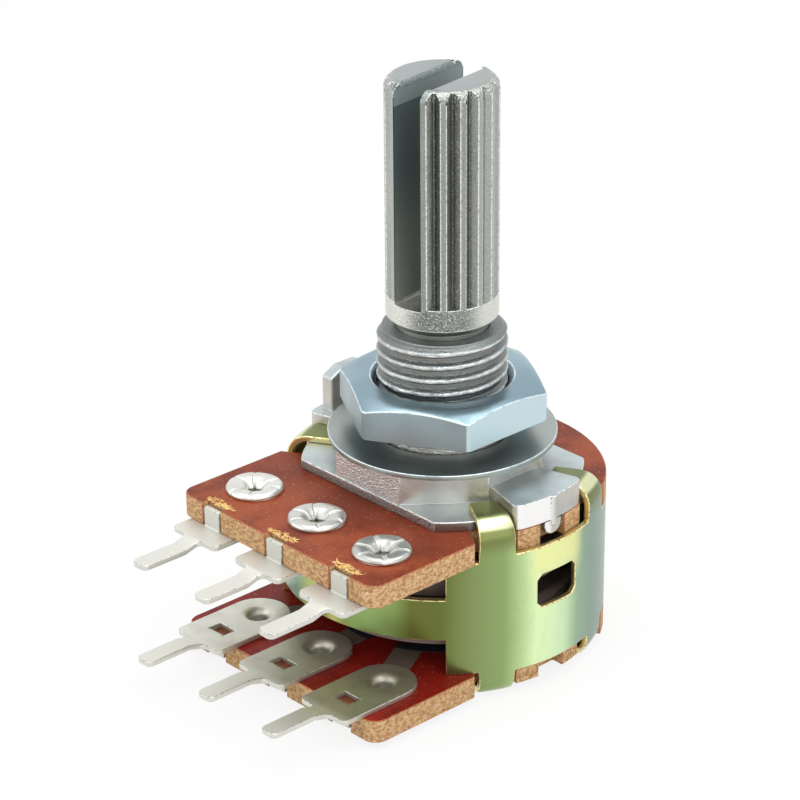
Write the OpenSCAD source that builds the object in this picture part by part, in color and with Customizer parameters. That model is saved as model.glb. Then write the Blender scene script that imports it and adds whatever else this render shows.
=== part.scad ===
// Rotary potentiometer with two gangs, a threaded bush and a split, splined shaft.
// Millimetres. The origin is on the shaft axis at the mounting face, where the washer lies.
// +Z runs up the shaft, and the terminals point along -Y.

/* [Shaft] */
// Diameter of the splined end
shaft_d = 6; // [5.4:0.1:6.2]
// Height of the shaft's end above the mounting face
shaft_end = 20; // [15:0.5:40]
// Length of the splines, from the end of the shaft
spline_len = 11.8; // [6:0.2:12]
// Number of spline teeth
spline_teeth = 18; // [12:2:24]
// Depth of a spline groove
spline_depth = 0.35; // [0.2:0.05:0.45]
// Width of the land that is left on a tooth
spline_land = 0.27; // [0.15:0.01:0.4]
// Width of the floor of a spline groove
spline_floor = 0.1; // [0.05:0.01:0.15]
// Width of the slot across the end
slot_w = 1.7; // [1:0.1:2.2]
// Length by which the slot runs on below the splines
slot_extra = 0.15; // [0.1:0.05:0.4]
// Radius of the rounded shoulder at the shaft's end
tip_round = 0.65; // [0.3:0.05:0.9]
// Chamfer at the foot of the thick part
foot_chamfer = 0.4; // [0.2:0.05:0.6]
// Gap between the thick part and the top of the bush
foot_gap = 0.3; // [0.2:0.05:1]
// Diameter of the neck that turns in the bush
neck_d = 5; // [4.4:0.1:5.2]
// Depth of the groove that holds the clip
clip_groove = 0.45; // [0.3:0.05:0.5]
// Length of the neck below that groove
neck_tail = 0.15; // [0.1:0.05:0.3]
// Diameter of the tang inside the housing
tang_d = 4.4; // [3.6:0.1:4.4]
// Distance across the two flats of the tang
tang_flats = 3; // [2.4:0.1:3.4]
// Diameter of the pilot in the rear wafer
pilot_d = 2.4; // [1.6:0.1:2.8]
// Gap between the tang and the rear wafer
tang_gap = 0.1; // [0.05:0.05:0.3]
// Depth at which the pilot ends inside the rear wafer
pilot_recess = 0.25; // [0.1:0.05:0.5]
// Turn of the shaft from the middle of its travel
shaft_turn = 8; // [-140:1:140]

/* [Bush and front plate] */
// Diameter over the bush's thread
bush_d = 7; // [6.8:0.05:7.6]
// Height of the bush above the mounting face
bush_h = 6.3; // [5:0.1:8]
// Chamfer at the top of the bush
bush_chamfer = 0.35; // [0.1:0.05:0.5]
// Radial running clearance of the shaft's neck
neck_clear = 0.03; // [0.02:0.01:0.06]
// Height of the boss above the ledge
boss_h = 1.65; // [1.3:0.05:2.5]
// Width of the boss along X
boss_x = 11; // [10.4:0.1:11]
// Width of the boss along Y
boss_y = 10.9; // [10.4:0.1:11]
// Length of the boss's flat sides along X
boss_flat_x = 5; // [3:0.1:6]
// Length of the boss's flat sides along Y
boss_flat_y = 3.8; // [3.6:0.1:5]
// Thickness of the base flange
base_t = 0.55; // [0.4:0.05:1]
// Diameter of the base flange
base_d = 15.2; // [14.6:0.1:15.6]
// Width of the base flange over its straight edges
base_y = 11.1; // [11:0.1:12]
// Reach of the side lobes from the axis
lobe_reach = 8.4; // [8:0.05:8.45]
// Thickness of the side lobes
lobe_t = 1.4; // [0.9:0.05:1.6]
// Half the angle that a side lobe spans
lobe_half_angle = 17.2; // [12:0.1:17.2]
// Width of the round rib down the outer face of the right lobe and its key
lobe_rib_w = 0.45; // [0.3:0.05:0.6]
// Width of the keys that drop into the front wafer
key_w = 1.2; // [0.8:0.1:1.4]
// Drop of the keys below the flange
key_drop = 0.85; // [0.5:0.05:1.1]
// Distance of the keys' outer face from the lobe's
key_inset = 0.05; // [0.02:0.01:0.1]
// Clearance between a key and the back of its notch
key_clear = 0.08; // [0.04:0.01:0.12]
// Height of the locating peg above its lobe
peg_h = 2.4; // [1.5:0.1:3.5]
// Length of the locating peg along Y
peg_len = 3.1; // [2:0.1:3.6]
// Thickness of the locating peg along X
peg_t = 0.85; // [0.6:0.05:1.2]
// Distance from the axis to the middle of the locating peg
peg_x = 7.55; // [7.3:0.05:7.7]
// Chamfer at the ends of the locating peg
peg_chamfer = 0.45; // [0.2:0.05:0.8]
// Diameter of the recess under the plate
recess_d = 9.2; // [8.8:0.1:9.6]
// Depth of the recess under the plate
recess_h = 1.2; // [1.15:0.05:1.5]

/* [Nut and washer] */
// Width of the nut across its flats
nut_af = 10; // [9:0.1:11]
// Thickness of the nut
nut_t = 2.05; // [1.5:0.05:3]
// Gap between the nut and the washer
nut_lift = 1.05; // [0.1:0.05:2]
// Radial clearance of the nut on the bush
nut_clear = 0.05; // [0.02:0.01:0.08]
// Diameter of the flat ring on top of the nut
nut_face_d = 9.2; // [8.6:0.1:9.8]
// Drop of the nut's corners below that ring
nut_chamfer = 0.5; // [0.1:0.05:0.8]
// Radial cut that blunts the nut's upright corners
nut_corner_cut = 0.08; // [0.04:0.02:0.2]
// Chamfer at the mouth of the nut's bore
nut_lead = 0.3; // [0.1:0.05:0.4]
// Outer diameter of the washer
washer_d = 12.3; // [11.6:0.1:13]
// Hole of the washer
washer_hole = 7.3; // [7.1:0.05:7.8]
// Thickness of the washer
washer_t = 0.3; // [0.3:0.05:0.8]

/* [Wafers] */
// Diameter of the round part of a wafer
wafer_d = 17.6; // [17.3:0.05:17.6]
// Thickness of a wafer
wafer_t = 1.3; // [1.2:0.05:1.6]
// Radial clearance of a wafer in the frame's wall
wafer_clear = 0.08; // [0.04:0.01:0.1]
// Width of the tongue that carries the terminals
tongue_w = 15.2; // [14.6:0.1:15.6]
// Reach of the tongue from the axis
tongue_reach = 12; // [11.7:0.05:12]
// Radius of the tongue's corners
tongue_corner = 0.8; // [0.4:0.1:1.2]
// Distance between the inner faces of the two wafers
gang_gap = 6.5; // [5.8:0.1:9]
// Angle by which the relief for a frame tab is wider than the tab, at each side
tab_relief_angle = 1.8; // [1:0.1:2]
// Width of the wafer's rim notch for the key
rim_notch_w = 1.75; // [1.6:0.05:2.2]
// Depth of the wafer's rim notch for the key
rim_notch_depth = 0.75; // [0.6:0.05:1]

/* [Terminals] */
// Distance between two terminals
pitch = 5; // [4.2:0.1:5.2]
// Distance from the axis to the row of eyelets
eyelet_y = 9; // [8.9:0.05:9.2]
// Outer diameter of an eyelet
eyelet_d = 2; // [1.8:0.1:2.4]
// Bore of an eyelet
eyelet_bore = 1; // [0.9:0.1:1.4]
// Diameter over the crimped end of an eyelet
crimp_d = 3.1; // [2.8:0.1:3.3]
// Height of the crimped end above the wafer
crimp_h = 0.3; // [0.2:0.05:0.45]
// Number of creases across the crimped end
crimp_creases = 6; // [4:1:8]
// Width of a crease
crease_w = 0.3; // [0.2:0.05:0.4]
// Depth of a crease
crease_depth = 0.18; // [0.06:0.02:0.22]
// Diameter of the rounded mouth at both ends of an eyelet
mouth_d = 2; // [1.6:0.05:2]
// Thickness of the terminal sheet
term_t = 0.3; // [0.2:0.05:0.4]
// Width of a terminal
term_w = 3.5; // [3:0.1:3.8]
// Distance from the axis to the terminal's shoulders
shoulder_y = 13.3; // [12.8:0.1:13.6]
// Radius of the shoulders' corners
shoulder_round = 0.35; // [0.1:0.05:0.5]
// Width of a pin
pin_w = 1.1; // [0.8:0.05:1.5]
// Radius of the fillets between a pin and its shoulders
pin_fillet = 0.3; // [0.1:0.05:0.5]
// Radius of the corners at a pin's tip
pin_round = 0.35; // [0.1:0.05:0.4]
// Distance from the axis to the tip of a pin
pin_y = 17; // [15:0.1:20]
// Height by which a pin steps away from its wafer
pin_step = 0.25; // [0.05:0.05:0.5]
// Length over which it does so
pin_step_run = 0.9; // [0.5:0.1:1.2]
// Width of the tab that is bent into the wafer's front notch
lance_w = 1.2; // [0.9:0.05:1.4]
// Height of that tab
lance_h = 1.1; // [0.7:0.05:1.15]
// Inner radius of that tab's bend
lance_bend = 0.1; // [0.05:0.01:0.15]
// Length of the window that the tab leaves
window_y = 0.95; // [0.8:0.05:1.1]
// Clearance at each side of the tab in its notch
notch_clear = 0.12; // [0.05:0.01:0.4]
// Depth of the notch behind the tab
notch_back = 0.15; // [0.02:0.01:0.2]

/* [Frame] */
// Outer diameter of the frame
frame_d = 17.6; // [17.6:0.05:18.4]
// Thickness of the frame's sheet
frame_t = 0.35; // [0.25:0.05:0.4]
// Half the angle of a side wall
wall_half_angle = 42.5; // [38:0.5:46]
// Height of the low band across the front
band_h = 2.4; // [1.5:0.1:3.2]
// Angle from the X axis to the near side of a tab
tab_start = 17.9; // [17.5:0.1:19]
// Angle that a tab spans
tab_span = 13.2; // [10:0.1:13.6]
// Distance from the axis to the end of a tab
tab_end = 6.15; // [6:0.05:6.8]
// Largest outer radius of a tab's bend; it ends where the base flange begins
tab_bend = 1.2; // [0.5:0.05:1.3]
// Height by which the wall laps over the wafers between two tabs
wall_lap = 0.2; // [0.1:0.05:0.4]
// Width of a side window
side_window_w = 2.75; // [1.5:0.05:3.5]
// Height of a side window
side_window_h = 1.9; // [1:0.1:2.4]
// Distance from the front wafer down to the middle of a side window
side_window_drop = 2.4; // [1.8:0.1:3]
// Chamfer of a side window's corners
side_window_chamfer = 0.3; // [0.1:0.05:0.5]
// Width of the open seam at the back
seam_w = 0.2; // [0.1:0.05:0.6]

/* [Rotors and wipers] */
// Width of a rotor's rim outside the resistance track
rotor_rim = 0.6; // [0.4:0.05:0.8]
// Reach of a rotor's disc beyond that rim
rotor_skirt = 1; // [0:0.1:1.4]
// Thickness of a rotor's disc
rotor_t = 1.1; // [0.8:0.1:1.2]
// Height of the lip round a rotor's rim
rotor_lip = 0.35; // [0.2:0.05:0.5]
// Width of that lip
rotor_lip_w = 0.6; // [0.4:0.05:0.8]
// Distance from a wafer to its rotor's face
rotor_gap = 1.1; // [1:0.05:1.3]
// Wall of a rotor's hub round the tang
hub_wall = 0.7; // [0.5:0.05:0.8]
// Radial clearance of the hub in the front wafer
hub_clear = 0.15; // [0.08:0.01:0.2]
// Gap between the rear rotor's hub and its wafer
rear_hub_gap = 0.2; // [0.1:0.05:0.4]
// Clearance of the tang in the rotors and in the stop washer
tang_clear = 0.03; // [0.02:0.01:0.06]
// Thickness of the wiper sheet
wiper_t = 0.15; // [0.1:0.01:0.2]
// Width of a wiper arm
wiper_w = 0.7; // [0.5:0.05:0.9]
// Length of a wiper arm
arm_run = 2.4; // [2:0.1:2.6]
// Radius of the rounded contact at an arm's end
contact_r = 0.3; // [0.25:0.01:0.35]
// Length of the pad that holds a wiper
arm_pad = 1.5; // [1.2:0.1:1.6]
// Radius of the rivets through that pad
rivet_r = 0.34; // [0.25:0.01:0.36]
// Radial clearance of the rivets
rivet_clear = 0.02; // [0.01:0.01:0.04]
// Height of the rivets above the pad
rivet_h = 0.15; // [0.1:0.05:0.25]
// Distance of the outer rivet's middle inside the rotor's rim
rivet_rim = 0.6; // [0.5:0.05:0.8]
// Distance between the two rivets of a wiper
rivet_step = 1.3; // [1:0.05:1.5]
// Width of the sheet round a rivet
rivet_edge = 0.25; // [0.15:0.05:0.3]
// Distance of the pad's corner inside the rotor's rim
pad_inset = 0.15; // [0.1:0.05:0.3]
// Clearance between a wiper and its track
wiper_clear = 0.04; // [0.02:0.01:0.06]
// Thickness of the printed tracks
track_t = 0.05; // [0.02:0.01:0.08]
// Width of both tracks
track_w = 1.1; // [0.8:0.05:1.2]
// Width of the strips that lead from the tracks to the terminals
leg_w = 1.5; // [0.5:0.1:1.8]
// Distance of the collector from the hole for the hub
collector_gap = 0.4; // [0.2:0.05:0.6]
// Distance between the collector and the resistance track
track_space = 0.7; // [0.5:0.05:0.8]
// Half the angle of the gap between the ends of the resistance track
track_gap = 30; // [26:1:34]

/* [Clip and stop] */
// Thickness of the clip
clip_t = 0.4; // [0.3:0.05:0.45]
// Outer diameter of the clip
clip_d = 6.4; // [5.8:0.1:6.6]
// Half the angle of the clip's mouth
clip_mouth = 40; // [30:1:50]
// Thickness of the stop washer
stop_t = 0.45; // [0.3:0.05:0.5]
// Diameter of the round part of the stop washer
stop_d = 6.6; // [6:0.1:6.8]
// Gap between the clip or the stop washer and the stop post
post_clear = 0.3; // [0.15:0.05:0.4]
// Gap between the stop washer's lug and the recess
lug_clear = 0.3; // [0.15:0.05:0.4]
// Half the angle of the stop post under the plate
post_half_angle = 13; // [8:0.5:14]
// Half the angle of the stop washer's lug
lug_half_angle = 16; // [8:0.5:16]
// Play between the pieces that are stacked on the shaft
stack_play = 0.05; // [0.03:0.01:0.06]

/* [Hidden] */
$fn = 64;
// Small overlap that joins two solids
eps = 0.01;
// How far a cutting shape reaches past what it cuts
over = 1;

shaft_r = shaft_d / 2;
neck_r = neck_d / 2;
bush_r = bush_d / 2;
frame_r = frame_d / 2;
frame_inner_r = frame_r - frame_t;
wafer_rim_r = frame_inner_r - wafer_clear;
bend_r = min(tab_bend, frame_r - base_d / 2);
tab_flat_r = frame_r - bend_r;
tab_mid = tab_start + tab_span / 2;
tab_far = tab_start + tab_span;
spline_z = shaft_end - spline_len;
nut_corner_r = nut_af / 2 / cos(30);
nut_face_r = nut_face_d / 2;

// Levels, from the mounting face down
ledge_z = -boss_h;
base_z = ledge_z - base_t;
front_inner_z = base_z - wafer_t;
rear_inner_z = front_inner_z - gang_gap;
mid_z = (front_inner_z + rear_inner_z) / 2;
lobe_z = base_z + lobe_t;
recess_z = base_z + recess_h;
foot_z = bush_h + foot_gap;
nut_z = washer_t + nut_lift;
tab_top_z = ledge_z + frame_t;
tab_low_z = 2 * mid_z - base_z - frame_t;
wall_top_z = front_inner_z + wall_lap;
wall_low_z = rear_inner_z - wall_lap;

// Stack of clip, stop washer and rotors on the shaft
clip_top_z = recess_z - stack_play;
clip_z = clip_top_z - clip_t;
clip_inner_r = neck_r - clip_groove;
neck_end_z = clip_z - neck_tail;
stop_z = neck_end_z - stop_t;
tang_end_z = rear_inner_z + tang_gap;
pilot_end_z = rear_inner_z - wafer_t + pilot_recess;
lug_r = recess_d / 2 - lug_clear;
post_r = max(clip_d, stop_d) / 2 + post_clear;
rotor_face_z = front_inner_z - rotor_gap;
wiper_rise = rotor_gap - track_t - wiper_clear;

// Rotors, tracks and wipers, from the tang outwards
hub_r = tang_d / 2 + hub_wall;
hub_hole_r = hub_r + hub_clear;
collector_r = hub_hole_r + collector_gap + track_w / 2;
track_r = collector_r + track_w + track_space;
rotor_r = track_r + rotor_rim;
disc_r = rotor_r + rotor_skirt;
rivet_x = -arm_run - arm_pad / 2;
rivet_far_y = sqrt(pow(rotor_r - rivet_rim, 2) - pow(rivet_x, 2));
rivets = [rivet_far_y - rivet_step, rivet_far_y];

lance_bend_r = term_t + lance_bend;
front_notch_w = lance_w + 2 * notch_clear;
front_notch_depth = term_t + notch_back;

zinc = "#a9acad";
steel = "#9fb56f";
bright = "#b9cbd0";
phenolic = "#a8573a";
tin = "#c9c9c2";
moulding = "#8a7c7b";
spring_metal = "#c8a25a";
carbon = "#26262a";

// Flat shapes

// A pie slice of a disc of radius r, between two angles less than 180 degrees apart
module slice(r, from, to) {
    mid = (from + to) / 2;
    reach = r / cos((to - from) / 4) + 1;
    intersection() {
        circle(r);
        polygon([[0, 0], reach * [cos(from), sin(from)], reach * [cos(mid), sin(mid)],
                 reach * [cos(to), sin(to)]]);
    }
}

// A slice of a ring
module ring_slice(outer, inner, from, to) {
    difference() {
        slice(outer, from, to);
        circle(inner);
    }
}

module ring(outer, inner) {
    difference() {
        circle(outer);
        circle(inner);
    }
}

// A rectangle about the origin with its corners cut off
module cut_rectangle(w, h, cut) {
    x = w / 2;
    y = h / 2;
    polygon([[x, y - cut], [x - cut, y], [cut - x, y], [-x, y - cut],
             [-x, cut - y], [cut - x, -y], [x - cut, -y], [x, cut - y]]);
}

// A disc with two flats, as the tang's section
module flatted(r, flats) {
    intersection() {
        circle(r);
        square([flats, 2 * r + 1], center = true);
    }
}

// Places its children at both ends of the X axis
module both_sides() {
    for (side = [0, 180]) rotate(side) children();
}

// Turns the rear gang's pieces over: the front gang mirrored in the plane between the gangs
module rear_gang() {
    translate([0, 0, 2 * mid_z]) mirror([0, 0, 1]) children();
}

// Shaft

module spline_groove() {
    top_half = shaft_r * sin(180 / spline_teeth) - spline_land / 2;
    floor_half = spline_floor / 2;
    slope = (top_half - floor_half) / spline_depth;
    outer_half = floor_half + slope * (spline_depth + over);
    polygon([[shaft_r - spline_depth, -floor_half], [shaft_r + over, -outer_half],
             [shaft_r + over, outer_half], [shaft_r - spline_depth, floor_half]]);
}

module shaft_blank() {
    rotate_extrude() {
        polygon([[0, pilot_end_z], [pilot_d / 2, pilot_end_z],
                 [pilot_d / 2, neck_end_z], [neck_r, neck_end_z],
                 [neck_r, clip_z - eps], [clip_inner_r, clip_z - eps],
                 [clip_inner_r, clip_top_z + eps], [neck_r, clip_top_z + eps],
                 [neck_r, foot_z], [shaft_r - foot_chamfer, foot_z],
                 [shaft_r, foot_z + foot_chamfer], [shaft_r, shaft_end - tip_round],
                 [shaft_r - tip_round, shaft_end], [0, shaft_end]]);
        translate([shaft_r - tip_round, shaft_end - tip_round]) circle(tip_round);
    }
    translate([0, 0, tang_end_z])
        linear_extrude(neck_end_z - tang_end_z) flatted(tang_d / 2, tang_flats);
}

module shaft() {
    color(zinc) rotate(shaft_turn) difference() {
        shaft_blank();
        for (i = [0:spline_teeth - 1])
            rotate((i + 0.5) * 360 / spline_teeth + 90) translate([0, 0, spline_z])
                linear_extrude(spline_len + over) spline_groove();
        translate([-slot_w / 2, -shaft_d, spline_z - slot_extra])
            cube([slot_w, 2 * shaft_d, spline_len + slot_extra + over]);
    }
}

// Front plate

module boss_outline() {
    x = boss_x / 2;
    y = boss_y / 2;
    fx = boss_flat_x / 2;
    fy = boss_flat_y / 2;
    polygon([[x, -fy], [x, fy], [fx, y], [-fx, y], [-x, fy], [-x, -fy], [-fx, -y], [fx, -y]]);
}

module base_outline() {
    intersection() {
        circle(d = base_d);
        square([base_d, base_y], center = true);
    }
}

// The blade that keeps the housing from turning in its panel
module locating_peg() {
    z0 = lobe_z - lobe_t / 2;
    z1 = lobe_z + peg_h;
    y = peg_len / 2;
    c = peg_chamfer;
    translate([peg_t / 2 - peg_x, 0, 0]) rotate([90, 0, -90]) linear_extrude(peg_t)
        polygon([[-y, z0], [y, z0], [y, z1 - c], [y - 2 * c, z1], [2 * c - y, z1], [-y, z1 - c]]);
}

// A key with a round lower end
module wafer_key() {
    r = key_w / 2;
    inner_x = wafer_rim_r - rim_notch_depth + key_clear;
    translate([inner_x, 0, base_z]) rotate([90, 0, 90])
        linear_extrude(lobe_reach - key_inset - inner_x) {
            translate([-r, r - key_drop]) square([key_w, key_drop - r + lobe_t / 2]);
            translate([0, r - key_drop]) circle(r);
        }
}

module front_plate() {
    rib_z = base_z - key_drop + key_w / 2;
    color(zinc) {
        difference() {
            union() {
                rotate_extrude()
                    polygon([[0, base_z], [bush_r, base_z], [bush_r, bush_h - bush_chamfer],
                             [bush_r - bush_chamfer, bush_h], [0, bush_h]]);
                translate([0, 0, base_z]) linear_extrude(-base_z) boss_outline();
                translate([0, 0, base_z]) linear_extrude(base_t) base_outline();
                both_sides() translate([0, 0, base_z]) linear_extrude(lobe_t)
                    slice(lobe_reach, -lobe_half_angle, lobe_half_angle);
                both_sides() wafer_key();
                translate([lobe_reach - key_inset, 0, rib_z])
                    cylinder(h = lobe_z - rib_z, d = lobe_rib_w);
                locating_peg();
            }
            translate([0, 0, base_z - over])
                cylinder(h = bush_h - base_z + 2 * over, r = neck_r + neck_clear);
            translate([0, 0, base_z - over]) cylinder(h = recess_h + over, d = recess_d);
        }
        translate([0, 0, base_z + stack_play]) linear_extrude(recess_h - stack_play)
            ring_slice(recess_d / 2 + eps, post_r, -90 - post_half_angle, -90 + post_half_angle);
    }
}

// Nut and washer

module mounting_nut() {
    outer_r = nut_corner_r - nut_corner_cut;
    outer_drop = nut_chamfer * (outer_r - nut_face_r) / (nut_corner_r - nut_face_r);
    bore_r = bush_r + nut_clear;
    color(bright) translate([0, 0, nut_z]) difference() {
        intersection() {
            linear_extrude(nut_t) rotate(30) circle(nut_corner_r, $fn = 6);
            rotate_extrude()
                polygon([[0, 0], [outer_r, 0], [outer_r, nut_t - outer_drop],
                         [nut_face_r, nut_t], [0, nut_t]]);
        }
        translate([0, 0, -over]) cylinder(h = nut_t + 2 * over, r = bore_r);
        translate([0, 0, nut_t - nut_lead])
            cylinder(h = nut_lead + eps, r1 = bore_r, r2 = bore_r + nut_lead);
    }
}

module flat_washer() {
    color(bright) linear_extrude(washer_t) ring(washer_d / 2, washer_hole / 2);
}

// Frame

// Half of a box's section, rounded at its two outer corners
module bent_profile(reach, z_low, z_high, bend) {
    translate([0, z_low]) square([reach - bend, z_high - z_low]);
    translate([0, z_low + bend]) square([reach, z_high - z_low - 2 * bend]);
    for (z = [z_low + bend, z_high - bend]) translate([reach - bend, z]) circle(bend);
}

// Section through the wall and the two tabs that are folded over the stack
module frame_section() {
    difference() {
        bent_profile(frame_r, tab_low_z, tab_top_z, bend_r);
        bent_profile(frame_inner_r, tab_low_z + frame_t, tab_top_z - frame_t, bend_r - frame_t);
        translate([-over, tab_low_z - over])
            square([tab_end + over, tab_top_z - tab_low_z + 2 * over]);
    }
}

// A slice of the frame, to be cut away between two angles and two levels
module frame_cut(from, to, z_low, z_high) {
    translate([0, 0, z_low]) linear_extrude(z_high - z_low) slice(frame_d, from, to);
}

// The same slice at both ends of the frame, beyond the levels given
module end_cuts(from, to, z_low, z_high) {
    frame_cut(from, to, z_high, tab_top_z + over);
    frame_cut(from, to, tab_low_z - over, z_low);
}

module side_window() {
    translate([0, 0, front_inner_z - side_window_drop]) rotate([90, 0, 90])
        linear_extrude(frame_r + over)
            cut_rectangle(side_window_w, side_window_h, side_window_chamfer);
}

module frame() {
    seam = asin(seam_w / frame_d);
    color(steel) difference() {
        rotate_extrude() frame_section();
        both_sides() {
            end_cuts(-tab_start, tab_start, wall_low_z, wall_top_z);
            end_cuts(tab_far, 180 - tab_far, rear_inner_z, front_inner_z);
            side_window();
        }
        end_cuts(wall_half_angle - 180, -wall_half_angle, mid_z - band_h / 2, mid_z + band_h / 2);
        frame_cut(90 - seam, 90 + seam, tab_low_z - over, tab_top_z + over);
    }
}

// Wafers

module round_cornered(w, h, r) {
    translate([r, 0]) square([w - 2 * r, h]);
    translate([0, r]) square([w, h - r]);
    for (x = [r, w - r]) translate([x, r]) circle(r);
}

module wafer_outline() {
    relief_half = tab_span / 2 + tab_relief_angle;
    difference() {
        union() {
            circle(d = wafer_d);
            translate([-tongue_w / 2, -tongue_reach])
                round_cornered(tongue_w, tongue_reach, tongue_corner);
        }
        both_sides() {
            ring_slice(wafer_d, wafer_rim_r, -tab_start, tab_start);
            for (side = [-1, 1])
                ring_slice(wafer_d, tab_flat_r,
                           side * tab_mid - relief_half, side * tab_mid + relief_half);
            translate([wafer_rim_r - rim_notch_depth, -rim_notch_w / 2])
                square([wafer_d, rim_notch_w]);
        }
        for (x = [-pitch, 0, pitch]) {
            translate([x, -eyelet_y]) circle(d = eyelet_d);
            translate([x - front_notch_w / 2, -tongue_reach - over])
                square([front_notch_w, front_notch_depth + over]);
        }
    }
}

module wafer(hole_r) {
    translate([0, 0, front_inner_z]) linear_extrude(wafer_t) difference() {
        wafer_outline();
        circle(hole_r);
    }
}

module front_wafer() {
    color(phenolic) wafer(hub_hole_r);
}

module rear_wafer() {
    color(phenolic) rear_gang() wafer(pilot_d / 2 + neck_clear);
}

// Terminals

module terminal_outline() {
    translate([0, -eyelet_y]) circle(d = term_w);
    translate([-term_w / 2, -shoulder_y])
        round_cornered(term_w, shoulder_y - eyelet_y, shoulder_round);
}

// A pin with the two fillets at its root
module pin_outline() {
    root_w = pin_w + 2 * pin_fillet;
    translate([-pin_w / 2, -pin_y]) round_cornered(pin_w, pin_y - shoulder_y + eps, pin_round);
    difference() {
        translate([-root_w / 2, -shoulder_y - pin_fillet]) square([root_w, pin_fillet + eps]);
        for (x = [-root_w / 2, root_w / 2])
            translate([x, -shoulder_y - pin_fillet]) circle(pin_fillet);
    }
}

// A pin that steps away from the wafer beyond the shoulders
module pin() {
    step_y = -shoulder_y - pin_step_run;
    low_z = -term_t - pin_step;
    translate([0, 0, front_inner_z]) intersection() {
        translate([0, 0, low_z - over]) linear_extrude(2 * over - low_z) pin_outline();
        translate([-pin_w, 0, 0]) rotate([90, 0, 90]) linear_extrude(2 * pin_w)
            polygon([[eps - shoulder_y, 0], [-shoulder_y, 0], [step_y, -pin_step],
                     [-pin_y - over, -pin_step], [-pin_y - over, low_z], [step_y, low_z],
                     [-shoulder_y, -term_t], [eps - shoulder_y, -term_t]]);
    }
}

// The flange that is rolled over the wafer, with a round rim and creases towards the bore
module crimp() {
    rim_r = crimp_d / 2 - crimp_h;
    difference() {
        rotate_extrude() {
            square([rim_r, crimp_h]);
            translate([rim_r, 0]) intersection() {
                circle(crimp_h);
                square(crimp_h);
            }
        }
        for (i = [0:crimp_creases - 1])
            rotate(i * 360 / crimp_creases) translate([0, 0, crimp_h - crease_depth])
                rotate([90, 0, 90]) linear_extrude(crimp_d)
                    polygon([[0, 0], [crease_w, 2 * crease_depth], [-crease_w, 2 * crease_depth]]);
    }
}

// The tab that is lanced out of the sheet and bent into the wafer's notch
module lance() {
    hinge = tongue_reach + lance_bend;
    translate([-lance_w / 2, 0, front_inner_z]) rotate([90, 0, 90]) mirror([1, 0, 0])
        linear_extrude(lance_w) {
            translate([tongue_reach - term_t, lance_bend]) square([term_t, lance_h - lance_bend]);
            translate([hinge, lance_bend]) intersection() {
                ring(lance_bend_r, lance_bend);
                translate([-lance_bend_r, -lance_bend_r]) square(lance_bend_r);
            }
            translate([hinge, -term_t]) square([eps, term_t]);
        }
}

module terminal(x) {
    window_front = -tongue_reach - lance_bend;
    color(tin) translate([x, 0, 0]) {
        difference() {
            translate([0, 0, front_inner_z - term_t]) linear_extrude(term_t) difference() {
                terminal_outline();
                translate([-lance_w / 2, window_front]) square([lance_w, window_y]);
            }
            terminal_bore();
        }
        pin();
        lance();
        difference() {
            translate([0, -eyelet_y, front_inner_z - eps]) {
                cylinder(h = wafer_t + 2 * eps, d = eyelet_d);
                translate([0, 0, wafer_t + eps]) crimp();
            }
            terminal_bore();
        }
    }
}

// Half the section of a mouth that narrows from mouth_d to the bore along a quarter circle
module mouth_section(flare) {
    difference() {
        square([mouth_d / 2, flare]);
        translate([mouth_d / 2, flare]) circle(flare);
    }
}

// The bore of an eyelet with a rounded mouth in the sheet and another in the crimped end
module terminal_bore() {
    sheet_z = front_inner_z - term_t;
    crimp_z = base_z + crimp_h;
    flare = (mouth_d - eyelet_bore) / 2;
    translate([0, -eyelet_y, 0]) rotate_extrude() {
        translate([0, sheet_z - over]) square([eyelet_bore / 2, crimp_z - sheet_z + 2 * over]);
        translate([0, sheet_z]) mouth_section(flare);
        translate([0, crimp_z]) mirror([0, 1]) mouth_section(flare);
    }
}

module front_terminal_left() { terminal(-pitch); }
module front_terminal_centre() { terminal(0); }
module front_terminal_right() { terminal(pitch); }
module rear_terminal_left() { rear_gang() terminal(-pitch); }
module rear_terminal_centre() { rear_gang() terminal(0); }
module rear_terminal_right() { rear_gang() terminal(pitch); }

// Tracks

// The strip that joins a track to its terminal, cut off at the terminal's round end
module track_leg(from, to) {
    along = to - from;
    angle = atan2(along.y, along.x);
    difference() {
        translate(from) rotate(angle) translate([0, -leg_w / 2]) square([norm(along), leg_w]);
        translate(to) circle(d = term_w);
    }
}

module track() {
    end_angle = track_gap - 90;
    end = track_r * [cos(end_angle), sin(end_angle)];
    color(carbon) translate([0, 0, front_inner_z - track_t]) linear_extrude(track_t) {
        difference() {
            ring(track_r + track_w / 2, track_r - track_w / 2);
            slice(track_r + track_w, -90 - track_gap, track_gap - 90);
        }
        for (side = [0, 1]) mirror([side, 0]) track_leg(end, [pitch, -eyelet_y]);
        difference() {
            union() {
                circle(collector_r + track_w / 2);
                track_leg([0, -collector_r], [0, -eyelet_y]);
            }
            circle(collector_r - track_w / 2);
        }
    }
}

module front_track() { track(); }
module rear_track() { rear_gang() track(); }

// Rotors and wipers, drawn at the middle of the travel with the contacts towards +Y

module rotor(hub_top) {
    color(moulding) rotate(shaft_turn) difference() {
        union() {
            translate([0, 0, rotor_face_z - rotor_t]) cylinder(h = rotor_t, r = disc_r);
            translate([0, 0, rotor_face_z - rotor_t - rotor_lip])
                linear_extrude(rotor_lip + eps) ring(disc_r, disc_r - rotor_lip_w);
            translate([0, 0, mid_z]) cylinder(h = hub_top - mid_z, r = hub_r);
            for (y = rivets)
                translate([rivet_x, y, rotor_face_z - eps])
                    cylinder(h = wiper_t + rivet_h, r = rivet_r);
        }
        translate([0, 0, mid_z - over]) linear_extrude(hub_top - mid_z + 2 * over)
            flatted(tang_d / 2 + tang_clear, tang_flats + 2 * tang_clear);
    }
}

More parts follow.
